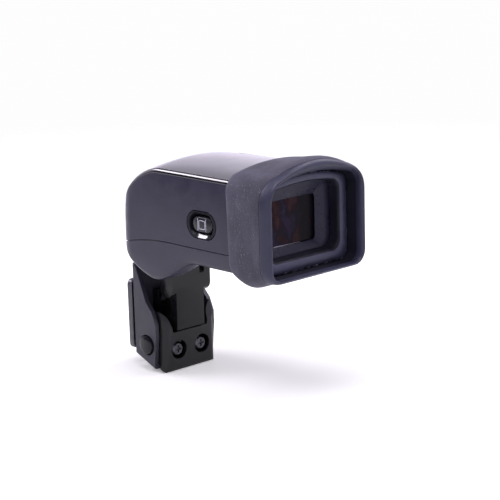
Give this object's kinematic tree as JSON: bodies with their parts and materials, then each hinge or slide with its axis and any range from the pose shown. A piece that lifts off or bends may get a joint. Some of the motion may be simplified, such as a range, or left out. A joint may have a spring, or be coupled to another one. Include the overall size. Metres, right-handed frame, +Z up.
{
  "type": "electronic viewfinder",
  "caption": "Clip-on electronic viewfinder: tilting eyepiece head with rubber eyecup, side display button and dioptre dial, hinged to a base with an accessory-shoe foot and release button",
  "frame": {"origin": "centre of the shoe foot's underside, on its flat face", "axes": "the foot's underside faces +Y; the eyepiece looks out along -Y; +Z is up, towards the end of the base that carries the head; the display button and the release button are on the -X side"},
  "size_m": [0.036, 0.067, 0.0646],
  "materials": {
    "eyecup_rubber": "soft matt black rubber with a faint bluish bloom",
    "black_plastic": "fine matt black, non-reflecting",
    "window_glass": "coated eyepiece window, dark with a reddish-violet sheen",
    "gloss_panel": "smooth glossy black",
    "matt_shell": "finely grained charcoal",
    "screw_steel": "blackened steel, slight sheen",
    "lens_glass": "clear coated lens",
    "display_glass": "dark display surface, switched off",
    "circuit_board": "green solder mask",
    "flex_film": "amber polyimide film",
    "button_plastic": "satin black",
    "plain_steel": "plain steel",
    "hinge_paint": "satin black paint on die-cast metal",
    "base_paint": "semi-matt charcoal paint",
    "cover_plastic": "finely grained charcoal",
    "foot_steel": "blackened steel, edges slightly worn",
    "contact_gold": "gold-plated contacts"
  },
  "bodies": {
    "base": {"base_shell": "base_paint", "rear_cover": "cover_plastic", "cover_screw_0": "screw_steel", "cover_screw_1": "screw_steel", "foot_plate": "foot_steel", "foot_neck": "base_paint", "foot_screw_0": "screw_steel", "foot_screw_1": "screw_steel", "foot_screw_2": "screw_steel", "foot_screw_3": "screw_steel", "contact_carrier": "black_plastic", "contact_comb": "contact_gold", "hinge_arm": "hinge_paint", "lock_spring": "plain_steel"},
    "head": {"eyecup": "eyecup_rubber", "eyepiece_frame": "black_plastic", "eyepiece_window": "window_glass", "top_panel": "gloss_panel", "upper_shell": "matt_shell", "lower_shell": "matt_shell", "head_screw_0": "screw_steel", "head_screw_1": "screw_steel", "head_screw_2": "screw_steel", "head_screw_3": "screw_steel", "lens_guide": "black_plastic", "display_frame": "black_plastic", "display_panel": "display_glass", "backlight": "black_plastic", "main_board": "circuit_board", "flex_cable": "flex_film", "button_surround": "gloss_panel", "button_switch": "plain_steel", "hinge_pin": "plain_steel", "friction_washer": "plain_steel"},
    "display_button": {"display_button": "button_plastic"},
    "dioptre_dial": {"dioptre_dial": "button_plastic"},
    "lens_carriage": {"lens_carriage": "black_plastic", "lens_front": "lens_glass", "lens_back": "lens_glass"},
    "release_button": {"release_button": "button_plastic"},
    "lock_pin": {"lock_pin": "plain_steel"}
  },
  "joints": [
    {"name": "head_tilt", "type": "hinge", "parent": "base", "child": "head", "pos_m": [0, -0.0162, 0.01995], "axis": [1, 0, 0], "range_deg": [0, 90]},
    {"name": "display_button_press", "type": "slide", "parent": "head", "child": "display_button", "axis": [1, 0, 0], "range_m": [0, 0.0004], "stiffness_N_per_m": 1200, "springref_m": -0.0003},
    {"name": "dioptre_turn", "type": "hinge", "parent": "head", "child": "dioptre_dial", "pos_m": [0.0158, -0.0436, 0.0327], "axis": [1, 0, 0], "range_deg": [-40, 40]},
    {"name": "lens_focus", "type": "slide", "parent": "head", "child": "lens_carriage", "axis": [0, 1, 0], "range_m": [-0.0008, 0.0008]},
    {"name": "release_press", "type": "slide", "parent": "base", "child": "release_button", "axis": [1, 0, 0], "range_m": [0, 0.001], "stiffness_N_per_m": 1500, "springref_m": -0.0004},
    {"name": "lock_retract", "type": "slide", "parent": "base", "child": "lock_pin", "axis": [0, -1, 0], "range_m": [0, 0.0009], "deforming": ["lock_spring"]}
  ],
  "couplings": [
    {"joint": "dioptre_turn", "follows": "lens_focus", "rad_per_m": -870},
    {"joint": "lock_retract", "follows": "release_press", "ratio": 0.8}
  ]
}
